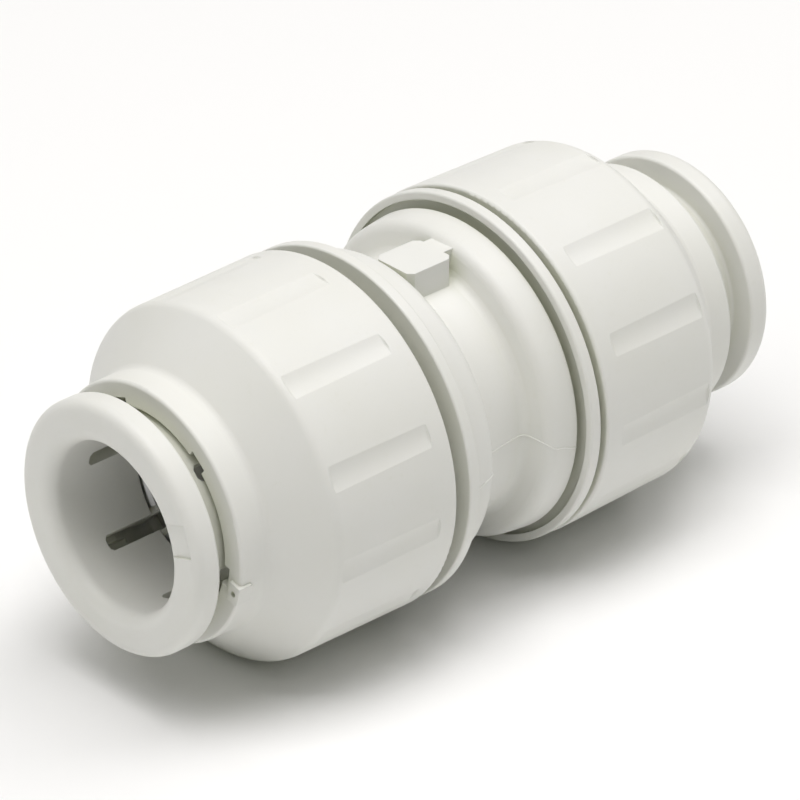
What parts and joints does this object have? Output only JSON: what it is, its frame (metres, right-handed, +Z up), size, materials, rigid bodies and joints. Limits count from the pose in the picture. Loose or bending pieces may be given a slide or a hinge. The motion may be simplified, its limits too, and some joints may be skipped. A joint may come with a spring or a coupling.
{
  "type": "push to connect fitting",
  "caption": "Straight equal push-fit coupler for plastic or copper pipe, with fluted twist-to-lock screw caps, release collets with steel grip teeth, and O-ring seals.",
  "frame": {"origin": "on the pipe axis, midway between the two discs of the body", "axes": "+X along the pipe axis towards the right end, +Z up through the raised lug of the body"},
  "size_m": [0.0682, 0.033, 0.033],
  "materials": {
    "body_plastic": "satin",
    "cap_plastic": "satin",
    "collet_plastic": "satin",
    "washer_plastic": "satin",
    "seal_rubber": "matte",
    "tooth_steel": "satin"
  },
  "bodies": {
    "root": {"body": "body_plastic", "left_o_ring": "seal_rubber", "right_o_ring": "seal_rubber"},
    "left_washer_carrier": {"left_spacer_washer": "washer_plastic"},
    "left_cap": {"left_screw_cap": "cap_plastic"},
    "left_collet_group": {"left_collet": "collet_plastic", "left_grip_tooth_1": "tooth_steel", "left_grip_tooth_2": "tooth_steel", "left_grip_tooth_3": "tooth_steel", "left_grip_tooth_4": "tooth_steel", "left_grip_tooth_5": "tooth_steel", "left_grip_tooth_6": "tooth_steel"},
    "right_washer_carrier": {"right_spacer_washer": "washer_plastic"},
    "right_cap": {"right_screw_cap": "cap_plastic"},
    "right_collet_group": {"right_collet": "collet_plastic", "right_grip_tooth_1": "tooth_steel", "right_grip_tooth_2": "tooth_steel", "right_grip_tooth_3": "tooth_steel", "right_grip_tooth_4": "tooth_steel", "right_grip_tooth_5": "tooth_steel", "right_grip_tooth_6": "tooth_steel"}
  },
  "joints": [
    {"name": "left_cap_advance", "type": "slide", "parent": "root", "child": "left_washer_carrier", "axis": [1, 0, 0], "range_m": [0, 0.0009], "deforming": ["left_o_ring"]},
    {"name": "left_cap_turn", "type": "hinge", "parent": "left_washer_carrier", "child": "left_cap", "pos_m": [0, 0, 0], "axis": [1, 0, 0], "range_deg": [0, 90]},
    {"name": "left_collet_push", "type": "slide", "parent": "left_washer_carrier", "child": "left_collet_group", "axis": [1, 0, 0], "range_m": [-0.0009, 0.0016]},
    {"name": "right_cap_advance", "type": "slide", "parent": "root", "child": "right_washer_carrier", "axis": [1, 0, 0], "range_m": [0, 0.0009], "deforming": ["right_o_ring"]},
    {"name": "right_cap_turn", "type": "hinge", "parent": "right_washer_carrier", "child": "right_cap", "pos_m": [0, 0, 0], "axis": [1, 0, 0], "range_deg": [0, 90]},
    {"name": "right_collet_push", "type": "slide", "parent": "right_washer_carrier", "child": "right_collet_group", "axis": [-1, 0, 0], "range_m": [0, 0.0025]}
  ],
  "couplings": [
    {"joint": "left_cap_advance", "follows": "left_cap_turn", "m_per_rad": 0.00057296},
    {"joint": "right_cap_advance", "follows": "right_cap_turn", "m_per_rad": 0.00057296}
  ]
}
